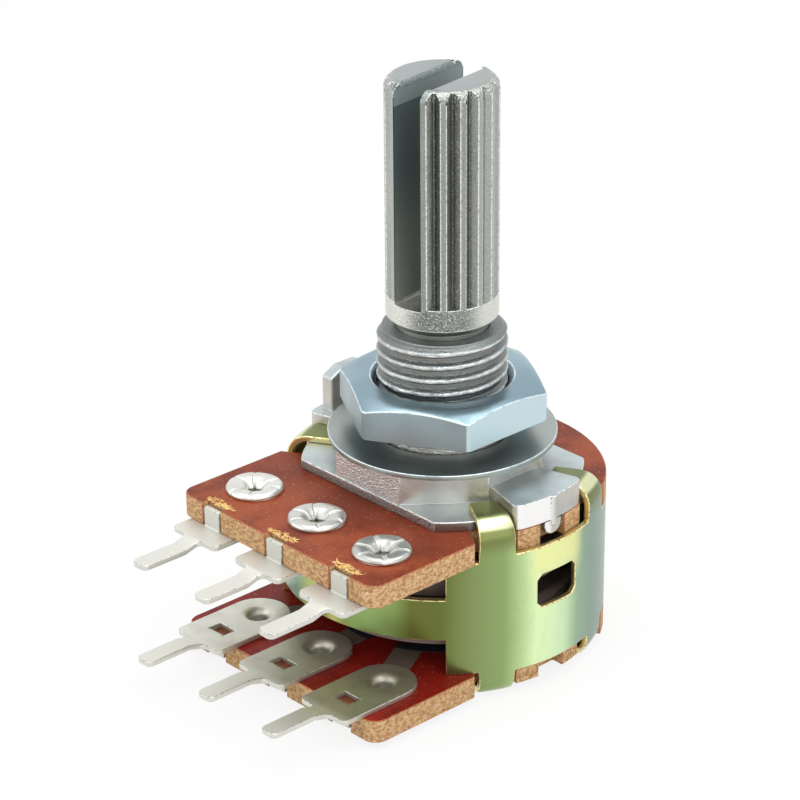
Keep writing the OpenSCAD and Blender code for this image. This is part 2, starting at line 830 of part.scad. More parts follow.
module front_rotor() { rotor(stop_z - stack_play); }
module rear_rotor() { rear_gang() rotor(front_inner_z - rear_hub_gap); }

// One spring arm: it climbs from the rotor's face to a rounded contact under the track
module wiper_arm(y) {
    climb = wiper_rise - contact_r;
    translate([0, y + wiper_w / 2, 0]) rotate([90, 0, 0]) linear_extrude(wiper_w) {
        polygon([[-arm_run, 0], [-arm_run, wiper_t], [-contact_r, climb + wiper_t],
                 [0, climb + wiper_t], [0, climb], [-contact_r / 2, climb]]);
        translate([0, climb]) intersection() {
            ring(contact_r, contact_r - wiper_t);
            translate([-contact_r, 0]) square([2 * contact_r, contact_r]);
        }
    }
}

module wiper() {
    x0 = -arm_run - arm_pad;
    y0 = rivets[0] - rivet_r - rivet_clear - rivet_edge;
    color(spring_metal) rotate(shaft_turn) translate([0, 0, rotor_face_z]) {
        difference() {
            linear_extrude(wiper_t) intersection() {
                translate([x0, y0]) square([arm_pad, track_r + wiper_w / 2 - y0]);
                circle(rotor_r - pad_inset);
            }
            for (y = rivets)
                translate([rivet_x, y, -over]) cylinder(h = 2 * over, r = rivet_r + rivet_clear);
        }
        for (y = [collector_r, track_r]) wiper_arm(y);
    }
}

module front_wiper() { wiper(); }
module rear_wiper() { rear_gang() wiper(); }

// Clip and stop washer

module shaft_clip() {
    color(bright) rotate(shaft_turn) translate([0, 0, clip_z]) linear_extrude(clip_t) difference() {
        ring(clip_d / 2, clip_inner_r);
        slice(clip_d, -90 - clip_mouth, -90 + clip_mouth);
    }
}

module stop_washer() {
    color(bright) rotate(shaft_turn) translate([0, 0, stop_z]) linear_extrude(stop_t) difference() {
        union() {
            circle(d = stop_d);
            slice(lug_r, 90 - lug_half_angle, 90 + lug_half_angle);
        }
        flatted(tang_d / 2 + tang_clear, tang_flats + 2 * tang_clear);
    }
}

shaft();
front_plate();
mounting_nut();
flat_washer();
frame();
front_wafer();
rear_wafer();
front_track();
rear_track();
front_terminal_left();
front_terminal_centre();
front_terminal_right();
rear_terminal_left();
rear_terminal_centre();
rear_terminal_right();
shaft_clip();
stop_washer();
front_rotor();
rear_rotor();
front_wiper();
rear_wiper();
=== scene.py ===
"""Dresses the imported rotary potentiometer: softened edges, thread, crimps, frayed notches."""

import logging
import math
import random
from dataclasses import dataclass
from enum import Enum
from typing import Any, Callable, Optional, Union

import bmesh
import bpy
from mathutils import Matrix, Vector


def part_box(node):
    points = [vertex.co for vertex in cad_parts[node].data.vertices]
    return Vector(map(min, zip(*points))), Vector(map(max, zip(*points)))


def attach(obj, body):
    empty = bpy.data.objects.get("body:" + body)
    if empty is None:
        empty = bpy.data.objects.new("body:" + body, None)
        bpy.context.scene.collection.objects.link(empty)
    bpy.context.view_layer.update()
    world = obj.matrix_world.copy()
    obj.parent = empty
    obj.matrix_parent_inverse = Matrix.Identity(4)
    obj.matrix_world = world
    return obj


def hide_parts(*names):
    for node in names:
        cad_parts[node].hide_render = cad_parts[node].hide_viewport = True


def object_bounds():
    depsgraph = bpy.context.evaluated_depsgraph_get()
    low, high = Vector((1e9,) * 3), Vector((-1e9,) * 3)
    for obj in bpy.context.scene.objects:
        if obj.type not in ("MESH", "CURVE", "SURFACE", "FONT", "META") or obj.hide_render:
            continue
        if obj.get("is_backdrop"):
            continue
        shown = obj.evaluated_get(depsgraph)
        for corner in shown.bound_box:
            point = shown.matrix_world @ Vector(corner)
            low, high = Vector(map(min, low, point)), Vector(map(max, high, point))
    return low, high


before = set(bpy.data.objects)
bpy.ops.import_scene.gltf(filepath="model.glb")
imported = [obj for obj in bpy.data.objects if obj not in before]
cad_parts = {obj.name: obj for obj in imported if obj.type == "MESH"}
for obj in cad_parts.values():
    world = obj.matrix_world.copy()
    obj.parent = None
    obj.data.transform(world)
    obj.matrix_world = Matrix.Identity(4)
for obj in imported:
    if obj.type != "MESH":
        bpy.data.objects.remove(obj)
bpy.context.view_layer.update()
LOG = logging.getLogger("potentiometer")
MM = 0.001
Colour = tuple[float, float, float]
Rings = list[list[tuple[float, float, float]]]
Material = bpy.types.Material
Body = bmesh.types.BMesh
Edge = bmesh.types.BMEdge


def srgb(red: float, green: float, blue: float) -> Colour:
    """Turns a colour in 0 to 255 display steps into linear light.

    Args:
        red: Red in display steps.
        green: Green in display steps.
        blue: Blue in display steps.

    Returns:
        The same colour as linear red, green and blue.
    """
    def linear(step: float) -> float:
        """Gives the linear light of one display step."""
        share = step / 255
        return share / 12.92 if share <= 0.04045 else ((share + 0.055) / 1.055) ** 2.4
    return linear(red), linear(green), linear(blue)


@dataclass(frozen=True)
class Sizes:
    """The part's sizes in metres, as in its source."""

    shaft_r: float = 3.0 * MM
    shaft_end: float = 20.0 * MM
    tip_round: float = 0.65 * MM
    foot_z: float = 6.6 * MM
    spline_z: float = 8.2 * MM
    spline_depth: float = 0.35 * MM
    slot_half: float = 0.85 * MM
    turn: float = math.radians(8)
    bush_r: float = 3.5 * MM
    bush_top: float = 6.3 * MM
    bush_chamfer: float = 0.35 * MM
    plate_front_y: float = -5.45 * MM
    ledge_z: float = -1.65 * MM
    lobe_r: float = 8.4 * MM
    lobe_half: float = math.radians(17.2)
    frame_top_z: float = -1.3 * MM
    frame_low_z: float = -11.65 * MM
    tab_bend: float = 1.2 * MM
    pitch: float = 5.0 * MM
    eyelet_y: float = -9.0 * MM
    tongue_y: float = -12.0 * MM
    track_outer_r: float = 6.35 * MM


SIZES = Sizes()


class Wire:
    """A node's output socket, on which arithmetic adds Math nodes."""

    def __init__(self, graph: "Graph", socket: bpy.types.NodeSocket) -> None:
        """Keeps the socket and the graph that it belongs to."""
        self.graph = graph
        self.socket = socket

    def math(self, operation: str, *others: "Number") -> "Wire":
        """Adds a Math node that starts from this socket.

        Args:
            operation: The Math node's operation.
            others: The node's further values.

        Returns:
            The node's result.
        """
        return self.graph.node("ShaderNodeMath", {"operation": operation},
                               dict(enumerate((self, *others))))

    def __add__(self, other: "Number") -> "Wire":
        """Adds a value."""
        return self.math("ADD", other)

    __radd__ = __add__

    def __mul__(self, other: "Number") -> "Wire":
        """Multiplies by a value."""
        return self.math("MULTIPLY", other)

    __rmul__ = __mul__

    def __sub__(self, other: "Number") -> "Wire":
        """Takes a value away."""
        return self.math("SUBTRACT", other)

    def reflected(self, operation: str, other: "Number") -> "Wire":
        """Adds a Math node that has this socket second."""
        return self.graph.node("ShaderNodeMath", {"operation": operation}, {0: other, 1: self})

    def __rsub__(self, other: "Number") -> "Wire":
        """Takes this value away from another."""
        return self.reflected("SUBTRACT", other)

    def __truediv__(self, other: "Number") -> "Wire":
        """Divides by a value."""
        return self.math("DIVIDE", other)

    def __rtruediv__(self, other: "Number") -> "Wire":
        """Divides another value by this one."""
        return self.reflected("DIVIDE", other)

    def __pow__(self, other: "Number") -> "Wire":
        """Raises to a power."""
        return self.math("POWER", other)

    def __rpow__(self, other: "Number") -> "Wire":
        """Raises another value to this power."""
        return self.reflected("POWER", other)

    def __abs__(self) -> "Wire":
        """Drops the sign."""
        return self.math("ABSOLUTE")

    def above(self, low: float, high: float) -> "Wire":
        """Rises smoothly from 0 to 1 between two values.

        Args:
            low: The value that gives 0.
            high: The value that gives 1.

        Returns:
            The smooth mask.
        """
        return self.graph.node("ShaderNodeMapRange", {"interpolation_type": "SMOOTHSTEP"},
                               {"Value": self, "From Min": low, "From Max": high})

    def below(self, low: float, high: float) -> "Wire":
        """Falls smoothly from 1 to 0 between two values."""
        return 1 - self.above(low, high)


Number = Union[Wire, float]
Paint = Union[Wire, Colour]


class Graph:
    """The node tree of a material or a world, built from expressions."""

    def __init__(self, owner: Union[Material, bpy.types.World]) -> None:
        """Empties the owner's node tree."""
        owner.use_nodes = True
        self.owner = owner
        self.tree = owner.node_tree
        self.tree.nodes.clear()

    def node(self, kind: str, settings: Optional[dict[str, Any]] = None,
             inputs: Optional[dict[Union[int, str], Any]] = None,
             output: Union[int, str] = 0) -> Wire:
        """Adds any node: its settings come first, then its sockets.

        Args:
            kind: The node's type.
            settings: Its properties, or "stops" for a ramp's places and colours.
            inputs: Values or wires for its input sockets.
            output: The output socket that is wanted.

        Returns:
            The wanted output.
        """
        made = self.tree.nodes.new(kind)
        for key, value in (settings or {}).items():
            if key == "stops":
                self.set_stops(made.color_ramp, value)
            else:
                setattr(made, key, value)
        for key, value in (inputs or {}).items():
            if isinstance(value, Wire):
                self.tree.links.new(value.socket, made.inputs[key])
            else:
                socket = made.inputs[key]
                is_colour = socket.type == "RGBA" and len(value) == 3
                socket.default_value = (*value, 1) if is_colour else value
        return Wire(self, made.outputs[output])

    @staticmethod
    def set_stops(ramp: bpy.types.ColorRamp, stops: list[tuple[float, Colour]]) -> None:
        """Sets a ramp's stops.

        Args:
            ramp: The ramp.
            stops: Places from 0 to 1 with their colours, two or more.
        """
        while len(ramp.elements) < len(stops):
            ramp.elements.new(1)
        for element, (place, colour) in zip(ramp.elements, stops):
            element.position = place
            element.color = (*colour, 1)

    def mix(self, factor: Number, first: Paint, second: Paint) -> Wire:
        """Mixes two colours.

        Args:
            factor: The share of the second colour.
            first: The colour at 0.
            second: The colour at 1.

        Returns:
            The mixed colour.
        """
        return self.node("ShaderNodeMix", {"data_type": "RGBA"},
                         {0: factor, 6: first, 7: second}, 2)

    def place(self) -> Wire:
        """Gives the place in the part's own frame, in metres, which moves with the piece."""
        return self.node("ShaderNodeTexCoord", output="Object")

    def spot(self) -> tuple[Wire, Wire, Wire]:
        """Gives the three numbers of the place in the part's frame."""
        return self.axes(self.place())

    def axes(self, vector: Wire) -> tuple[Wire, Wire, Wire]:
        """Splits a vector.

        Args:
            vector: The vector.

        Returns:
            Its three numbers.
        """
        split = self.tree.nodes.new("ShaderNodeSeparateXYZ")
        self.tree.links.new(vector.socket, split.inputs[0])
        return tuple(Wire(self, split.outputs[i]) for i in range(3))

    def facing(self) -> tuple[Wire, Wire, Wire]:
        """Gives the surface's own direction in the part's frame."""
        return self.axes(self.node("ShaderNodeTexCoord", output="Normal"))

    @staticmethod
    def radius(x: Wire, y: Wire) -> Wire:
        """Gives the distance from the shaft's axis."""
        return (x * x + y * y) ** 0.5

    def noise(self, size_mm: float, detail: float = 3, roughness: float = 0.55,
              stretch: Colour = (1, 1, 1)) -> Wire:
        """Makes soft noise from 0 to 1.

        Args:
            size_mm: The width of its features.
            detail: The number of finer layers.
            roughness: The strength of those layers.
            stretch: Scales the place along each axis first.

        Returns:
            The noise.
        """
        where = self.node("ShaderNodeVectorMath", {"operation": "MULTIPLY"},
                          {0: self.place(), 1: stretch})
        return self.node("ShaderNodeTexNoise", None,
                         {"Vector": where, "Scale": 1 / (size_mm * MM), "Detail": detail,
                          "Roughness": roughness})

    def cells(self, size_mm: float) -> Wire:
        """Makes a cell pattern: the distance from each cell's centre."""
        return self.node("ShaderNodeTexVoronoi", None,
                         {"Vector": self.place(), "Scale": 1 / (size_mm * MM)}, "Distance")

    def bump(self, height: Number, depth_mm: float, under: Optional[Wire] = None) -> Wire:
        """Turns a height into a surface direction.

        Args:
            height: The height, from 0 to 1.
            depth_mm: The depth of that relief.
            under: A surface direction that it is added to.

        Returns:
            The direction for a Normal socket.
        """
        inputs: dict[Union[int, str], Any] = {"Height": height, "Distance": depth_mm * MM}
        if under is not None:
            inputs["Normal"] = under
        return self.node("ShaderNodeBump", None, inputs)

    def end(self, shader: Wire, kind: str = "ShaderNodeOutputMaterial") -> None:
        """Joins a shader to the tree's output node."""
        out = self.tree.nodes.new(kind)
        self.tree.links.new(shader.socket, out.inputs["Surface"])

    def finish(self, **sockets: Any) -> Material:
        """Ends the material in one Principled shader.

        Args:
            sockets: Values or wires for its sockets, with _ for each space in a name.

        Returns:
            The material.
        """
        named = {key.replace("_", " "): value for key, value in sockets.items()}
        self.end(self.node("ShaderNodeBsdfPrincipled", None, named))
        return self.owner


@dataclass(frozen=True)
class Finish:
    """A named finish that builds a material."""

    name: str

    def graph(self) -> Graph:
        """Starts the material."""
        return Graph(bpy.data.materials.new(self.name))

    def build(self) -> Material:
        """Makes the material."""
        raise NotImplementedError


@dataclass(frozen=True)
class CastZinc(Finish):
    """Die-cast zinc: a satin skin, a broken front with painted glints, and a thread with painted
    shade in its roots and painted highlights on its worn crests.
    """

    up: Colour = srgb(196, 208, 210)
    side: Colour = srgb(206, 202, 194)
    shade: Colour = srgb(138, 143, 145)
    warm: Colour = srgb(208, 200, 193)
    glint_and_wear: Colour = srgb(246, 246, 246)
    pale: Colour = srgb(246, 245, 244)
    root: Colour = srgb(104, 108, 106)
    skirt_shade: Colour = srgb(96, 84, 82)
    grain_mm: float = 0.1
    crest_r: float = 3.48 * MM
    root_r: float = 3.38 * MM
    bush_reach: float = 3.6 * MM
    flange_reach: float = 7.9 * MM
    blend: float = 0.1 * MM

    def build(self) -> Material:
        """Makes the material of the front plate and its bush."""
        g = self.graph()
        x, y, z = g.spot()
        _, ny, nz = g.facing()
        radius = g.radius(x, y)
        front = SIZES.plate_front_y
        broken = ny.below(-0.95, -0.7) * y.below(front, front + self.blend)
        on_bush = z.above(self.blend, 2 * self.blend) \
            * radius.below(self.bush_reach, self.bush_reach + self.blend)
        crest = on_bush * radius.above(self.root_r, self.crest_r)
        lobe = radius.above(SIZES.lobe_r - self.blend, SIZES.lobe_r - self.blend / 2)
        cloud = g.noise(2.2, 3)
        worn = g.noise(0.45, 4, 0.7, (1, 1, 2)).above(0.44, 0.6)
        speck = g.noise(self.grain_mm, 2, 0.7).above(0.52, 0.64)
        # Painted light: faces turned up get a bluish painted reflection, faces turned sideways a
        # warmer painted light.
        base = g.mix(nz.above(0.3, 0.7), self.side, self.up)
        base = g.mix(cloud.below(0.3, 0.7) * 0.45, base, self.shade)
        base = g.mix(broken * 0.7, base, self.warm)
        lit_lobe = lobe * abs(nz).below(0.3, 0.5) * y.below(-0.3 * MM, 0) * x.above(0, MM)
        base = g.mix(lit_lobe, base, self.pale)
        # Painted shade down the thread's flanks and into its roots.
        base = g.mix(on_bush * (1 - crest) * 0.8, base, self.root)
        # Crests painted bright, broken at random: a painted highlight, with some wear.
        base = g.mix(crest * worn * 0.5, base, self.glint_and_wear)
        # Painted glints: bright specks, thickest on the broken front.
        base = g.mix(speck * (0.06 + broken * 0.8), base, self.glint_and_wear)
        # Painted shade, with a reddish cast, on the plate's low side wall just above the wafer.
        low_edge_shade = z.below(SIZES.ledge_z - 0.12 * MM, SIZES.ledge_z - 0.05 * MM) \
            * abs(nz).below(0.3, 0.6) \
            * radius.below(self.flange_reach, self.flange_reach + self.blend)
        base = g.mix(low_edge_shade * 0.6, base, self.skirt_shade)
        fine = g.bump(g.noise(0.35, 3, 0.6), 0.01)
        relief = g.bump(g.cells(self.grain_mm) * (0.05 + broken + on_bush * 0.35), 0.05, fine)
        return g.finish(Base_Color=base, Metallic=0.9,
                        Roughness=0.3 + cloud * 0.12 + broken * 0.1, Normal=relief)


@dataclass(frozen=True)
class ShaftZinc(Finish):
    """The shaft's zinc: grey lands, grooves with painted light and shade, a painted lit band, a
    smooth end and a dull slot with painted light and shade.
    """

    land: Colour = srgb(142, 147, 140)
    land_light: Colour = srgb(158, 161, 155)
    left: Colour = srgb(164, 168, 162)
    right: Colour = srgb(114, 114, 108)
    groove_floor_shade: Colour = srgb(58, 62, 58)
    dark_streaks: Colour = srgb(70, 76, 72)
    light: Colour = srgb(190, 194, 189)
    slot: Colour = srgb(84, 98, 97)
    slot_low: Colour = srgb(132, 138, 130)
    slot_top: Colour = srgb(140, 152, 151)
    mouth: Colour = srgb(118, 129, 130)
    end: Colour = srgb(162, 170, 170)
    painted_highlight: Colour = srgb(238, 239, 236)
    band: Colour = srgb(120, 125, 119)
    band_highlight: Colour = srgb(226, 226, 216)
    light_turn: float = 0.744
    shade_drop: float = 1.1 * MM
    slot_fade: tuple[float, float] = (9 * MM, 16 * MM)
    step: float = 0.02 * MM

    def build(self) -> Material:
        """Makes the material."""
        g = self.graph()
        x, y, z = g.spot()
        nx, ny, nz = g.facing()
        cos_t, sin_t = math.cos(SIZES.turn), math.sin(SIZES.turn)
        radius = g.radius(x, y)
        across = abs(x * cos_t + y * sin_t)
        end = SIZES.shaft_end
        splined = z.above(SIZES.spline_z - self.step, SIZES.spline_z + self.step)
        wall = abs(nx * cos_t + ny * sin_t).above(0.9, 0.97) * splined \
            * across.below(SIZES.slot_half + self.step / 2, SIZES.slot_half + 1.5 * self.step)
        open_side = (1 - wall) * splined * abs(nz).below(0.3, 0.6)
        groove = radius.below(SIZES.shaft_r - 3 * self.step,
                              SIZES.shaft_r - 1.5 * self.step) * open_side
        groove_r = SIZES.shaft_r - SIZES.spline_depth
        floor = radius.below(groove_r + self.step, groove_r + 5 * self.step) * groove
        turned = (x * ny - y * nx) / radius
        end_face = nz.above(0.9, 0.98) * z.above(end - 5 * self.step, end)
        mouth = across.below(SIZES.slot_half + 11 * self.step, SIZES.slot_half + 15 * self.step) \
            * z.above(end - 20 * self.step, end - 13 * self.step) * (1 - end_face)
        tip = z.above(end - SIZES.tip_round, end - 20 * self.step) \
            * (1 - end_face) * (1 - mouth)
        band = (1 - splined) * z.above(SIZES.foot_z, SIZES.foot_z + 0.1 * MM)
        around = y.math("ARCTAN2", x)
        lit = abs((around + self.light_turn).math("SINE")).above(0.35, 0.8)
        cloud = g.noise(0.8, 4, 0.6, (1, 1, 0.3))
        patch = g.noise(1.1, 2, 0.5, (1, 1, 0.12))
        speck = g.noise(0.085, 2, 0.7).above(0.5, 0.64)
        base = g.mix(cloud.above(0.35, 0.7) * 0.5, self.land, self.land_light)
        # Painted light and shade: flanks turned one way round the shaft are painted lit, the
        # others painted shaded.
        flank = g.mix(turned.above(-0.2, 0.2), self.right, self.left)
        # Darker streaks at random on the flanks.
        flank = g.mix(patch.above(0.35, 0.6) * 0.45, flank, self.dark_streaks)
        base = g.mix(groove, base, flank)
        # Painted shade in the groove floors.
        base = g.mix(floor * 0.7, base, self.groove_floor_shade)
        # Painted light: a lit band runs along the shaft at one angle, over the splines and the
        # plain band below them.
        base = g.mix(lit * (1 - floor * 0.6) * 0.55, base, self.light)
        base = g.mix(band, base, g.mix(lit * 0.9, self.band, self.band_highlight))
        # Painted glints: bright specks, most on the plain band and the round of the end.
        base = g.mix(speck * (0.2 + band * 0.35 + tip * 0.3), base, self.painted_highlight)
        # Painted light and shade on the slot's walls: a lit strip along the top, painted shade
        # below it, fading lighter further down.
        high = z.above(end - self.shade_drop - 3 * self.step, end - self.shade_drop)
        depth = g.mix(z.above(*self.slot_fade), self.slot_low, self.slot)
        base = g.mix(wall, base, g.mix(high, depth, self.slot_top))
        base = g.mix(end_face * 0.9, base, self.end)
        # The rounded mouth is painted a darker grey with light specks.
        base = g.mix(mouth, base, g.mix(speck * 0.6, self.mouth, self.light))
        fine = g.bump(g.noise(0.3, 3, 0.6, (1, 1, 0.5)), 0.014)
        relief = g.bump(g.cells(0.11) * (0.14 + band * 0.8 + tip * 0.5) * (1 - end_face)
                        * (1 - wall), 0.04, fine)
        return g.finish(Base_Color=base, Metallic=0.92 - wall * 0.6,
                        Roughness=0.26 + cloud * 0.12 + wall * 0.25, Normal=relief)


@dataclass(frozen=True)
class EdgeHighlight(Finish):
    """An edge painted bright as a highlight, with some rubbed wear, broken by darker spots."""

    painted_highlight: Colour
    dull: Colour
    size_mm: float = 0.25
    metallic: float = 0.9

    def build(self) -> Material:
        """Makes the material."""
        g = self.graph()
        spots = g.noise(self.size_mm, 3, 0.7).above(0.46, 0.62)
        return g.finish(Base_Color=g.mix(spots * 0.8, self.painted_highlight, self.dull),
                        Metallic=self.metallic, Roughness=0.28 + spots * 0.2)


@dataclass(frozen=True)
class NutPlating(Finish):
    """Blue-white zinc plating, lighter on the sides that face the light."""

    top: Colour = srgb(136, 162, 175)
    grey: Colour = srgb(132, 146, 150)
    light: Colour = srgb(198, 220, 226)
    bore: Colour = srgb(92, 122, 142)
    bore_reach: tuple[float, float] = (3.6 * MM, 3.85 * MM)

    def build(self) -> Material:
        """Makes the material."""
        g = self.graph()
        x, y, _ = g.spot()
        nx, _, nz = g.facing()
        radius = g.radius(x, y)
        cloud = g.noise(4.0, 2, 0.4)
        side = g.mix(nx.above(0.55, 0.95), self.grey, self.light)
        base = g.mix(abs(nz).above(0.2, 0.95), side, self.top)
        base = g.mix(cloud.above(0.35, 0.75) * 0.35, base, self.light)
        base = g.mix(radius.below(*self.bore_reach) * 0.8, base, self.bore)
        relief = g.bump(g.noise(0.06, 2, 0.5, (1, 1, 5)), 0.003)
        return g.finish(Base_Color=base, Metallic=0.95, Roughness=0.24 + cloud * 0.1,
                        Normal=relief)


@dataclass(frozen=True)
class PlatedSteel(Finish):
    """Zinc-plated steel with faint drawing marks."""

    base: Colour
    shade: Colour
    roughness: float

    def build(self) -> Material:
        """Makes the material."""
        g = self.graph()
        cloud = g.noise(5.0, 2, 0.4)
        base = g.mix(cloud.above(0.3, 0.75), self.shade, self.base)
        relief = g.bump(g.noise(0.05, 2, 0.5, (1, 1, 6)), 0.004)
        return g.finish(Base_Color=base, Metallic=1.0, Roughness=self.roughness + cloud * 0.08,
                        Normal=relief)


@dataclass(frozen=True)
class Chromate(Finish):
    """Chromated steel sheet, whose tint drifts from green over yellow to teal round the body:
    partly its own chromate tint, partly painted reflections and highlights.
    """

    tints_and_reflections: tuple[tuple[float, Colour], ...] = (
        (-180, srgb(132, 156, 142)), (-150, srgb(148, 176, 107)), (-128, srgb(206, 222, 150)),
        (-106, srgb(126, 162, 150)), (-97, srgb(186, 198, 120)), (-84, srgb(206, 210, 128)),
        (-75, srgb(150, 182, 112)), (-61, srgb(146, 172, 104)), (-55, srgb(110, 116, 56)),
        (-44, srgb(104, 114, 54)), (-38, srgb(124, 138, 80)), (-33, srgb(134, 150, 94)),
        (-22, srgb(144, 168, 108)), (-15, srgb(190, 216, 152)), (-10, srgb(226, 248, 190)),
        (-3, srgb(220, 243, 192)), (3, srgb(206, 232, 186)), (10, srgb(152, 180, 150)),
        (20, srgb(132, 154, 140)), (34, srgb(128, 150, 138)), (52, srgb(148, 176, 112)),
        (78, srgb(216, 234, 160)), (100, srgb(132, 160, 146)), (140, srgb(148, 176, 107)),
        (180, srgb(132, 156, 142)))
    olive: Colour = srgb(118, 124, 72)
    yellow: Colour = srgb(242, 243, 164)
    gold: Colour = srgb(228, 214, 150)
    glint: Colour = srgb(236, 240, 196)
    window_highlight_z: tuple[float, float] = (-6.5 * MM, -4.0 * MM)
    bend_shade_z: tuple[float, float] = (-3.4 * MM, -2.2 * MM)
    step: float = 0.05 * MM

    def build(self) -> Material:
        """Makes the material."""
        g = self.graph()
        x, y, z = g.spot()
        nx, ny, nz = g.facing()
        radius = g.radius(x, y)
        outward = abs((x * nx + y * ny) / radius)
        top = SIZES.frame_top_z
        upper_bend, lower_bend = top - SIZES.tab_bend, SIZES.frame_low_z + SIZES.tab_bend
        bent = z.above(upper_bend, upper_bend + self.step) \
            + z.below(lower_bend - self.step, lower_bend)
        face = (outward.above(0.35, 0.6)
                + bent * abs(nz).above(0.15, 0.3)).math("MINIMUM", 1.0)
        drift = g.noise(6.0, 2, 0.4) - 0.5
        turn = y.math("ARCTAN2", x) / math.tau + 0.5 + drift * 0.012
        # The ramp mixes the sheet's own tint with painted reflections and highlights.
        tint = g.node("ShaderNodeValToRGB", {"stops": [
            (0.5 + degrees / 360, colour) for degrees, colour in self.tints_and_reflections]}, {0: turn})
        # Painted highlight: yellow on the frame's side towards +x, over its upper part.
        right = x.above(0, 3 * MM) * abs(y).below(1.2 * MM, 2.2 * MM)
        base = g.mix(z.above(*self.window_highlight_z) * right * 0.8, tint, self.yellow)
        # Painted shade and dark reflection: olive from the top down past the tabs' bends, fading
        # out lower.
        base = g.mix(z.above(*self.bend_shade_z) * 0.85, base, self.olive)
        shine = z.above(top - 0.6 * MM, top - 0.4 * MM) * z.below(top - 0.12 * MM, top - 0.02 * MM)
        base = g.mix(shine * 0.8, base, self.glint)
        base = g.mix(g.noise(0.6, 3).above(0.5, 0.85) * 0.12, base, self.olive)
        base = g.mix(face, self.gold, base)
        relief = g.bump(g.noise(0.7, 3, 0.5), 0.005)
        return g.finish(Base_Color=base, Metallic=0.9, Roughness=0.24 + g.noise(1.5, 3) * 0.1,
                        Normal=relief)


@dataclass(frozen=True)
class Laminate(Finish):
    """Phenolic laminate: a glossy face with pale fibres and grainy tan cut edges."""

    face: Colour
    face_dark: Colour
    window_shade_share: float = 0.0
    edge: Colour = srgb(216, 178, 132)
    edge_dark: Colour = srgb(170, 126, 84)
    edge_light: Colour = srgb(244, 220, 180)
    window_shade: Colour = srgb(120, 78, 50)
    fibre: Colour = srgb(236, 200, 160)

    def build(self) -> Material:
        """Makes the material."""
        g = self.graph()
        x, y, _ = g.spot()
        _, _, nz = g.facing()
        cut = abs(nz).below(0.4, 0.7)
        cloud = g.noise(3.2, 4, 0.6)
        face = g.mix(cloud.above(0.35, 0.62), self.face_dark, self.face)
        # Painted shade in a band along the plate's front edge.
        plate_shade_band = y.above(-9 * MM, -6.4 * MM) * y.below(-4 * MM, -2 * MM)
        face = g.mix(plate_shade_band * 0.6, face, self.face_dark)
        off_pin = abs(((x / SIZES.pitch + 0.5).math("FRACT") - 0.5) * SIZES.pitch)
        # Painted shade beside each pin towards the tongue, where the wafer shows through the
        # terminals' windows.
        under_window = off_pin.below(0.7 * MM, 0.9 * MM) * y.below(-10.1 * MM, -9.9 * MM) * self.window_shade_share
        face = g.mix(under_window, face, self.window_shade)
        speck = g.noise(0.12, 2, 0.6).above(0.66, 0.72)
        face = g.mix(speck * 0.4, face, self.fibre)
        layers = g.noise(0.28, 4, 0.75, (1, 1, 1.6))
        edge = g.mix(layers.above(0.4, 0.6), self.edge_dark, self.edge)
        edge = g.mix(g.noise(0.1, 2).above(0.58, 0.7), edge, self.edge_light)
        smooth = g.bump(g.noise(0.5, 3), 0.008)
        relief = g.bump(layers * cut, 0.05, smooth)
        return g.finish(Base_Color=g.mix(cut, face, edge), Metallic=0.0,
                        Specular_IOR_Level=0.16, Roughness=0.36 + cut * 0.35, Normal=relief)


@dataclass(frozen=True)
class Tin(Finish):
    """Tinned sheet: a satin face with faint stains, and a painted reflection that darkens it
    towards +x.
    """

    face: Colour
    stain_and_reflection: Colour
    roughness: float
    metallic: float
    side: Colour = srgb(214, 213, 206)
    pit: Colour = srgb(116, 116, 108)

    def build(self) -> Material:
        """Makes the material."""
        g = self.graph()
        x, y, _ = g.spot()
        _, _, nz = g.facing()
        cloud = g.noise(1.6, 3)
        # Stains at random, and a painted reflection darkening the sheet towards +x; both fade out
        # on the pins.
        stain_reflection_mask = cloud.above(0.42, 0.7) * 0.25 + x.above(-7 * MM, 6 * MM) * 0.7
        base = g.mix(stain_reflection_mask * y.above(-13.4 * MM, -12.6 * MM), self.face, self.stain_and_reflection)
        base = g.mix(abs(nz).below(0.3, 0.6) * 0.5, base, self.side)
        base = g.mix(g.noise(0.12, 3).above(0.66, 0.74) * 0.3, base, self.pit)
        relief = g.bump(g.noise(0.25, 4, 0.6), 0.01)
        return g.finish(Base_Color=base, Metallic=self.metallic,
                        Roughness=self.roughness + cloud * 0.12, Normal=relief)


@dataclass(frozen=True)
class Moulded(Finish):
    """A dull or satin material with a faint grain."""

    base: Colour
    light: Colour
    roughness: float
    metallic: float = 0.0

    def build(self) -> Material:
        """Makes the material."""
        g = self.graph()
        cloud = g.noise(0.7, 4)
        relief = g.bump(g.noise(0.12, 3), 0.008)
        return g.finish(Base_Color=g.mix(cloud, self.base, self.light), Metallic=self.metallic,
                        Roughness=self.roughness + cloud * 0.1, Normal=relief)


@dataclass(frozen=True)
class Carbon(Finish):
    """Printed film: blue-black rings, and brown-grey strips that lead outwards."""

    ring: Colour = srgb(34, 38, 46)
    strip: Colour = srgb(112, 98, 88)

    def build(self) -> Material:
        """Makes the material."""
        g = self.graph()
        x, y, _ = g.spot()
        radius = g.radius(x, y)
        outside = radius.above(SIZES.track_outer_r, SIZES.track_outer_r + 0.1 * MM)
        return g.finish(Base_Color=g.mix(outside, self.ring, self.strip), Metallic=0.0,
                        Roughness=0.45 + g.noise(0.4) * 0.1)


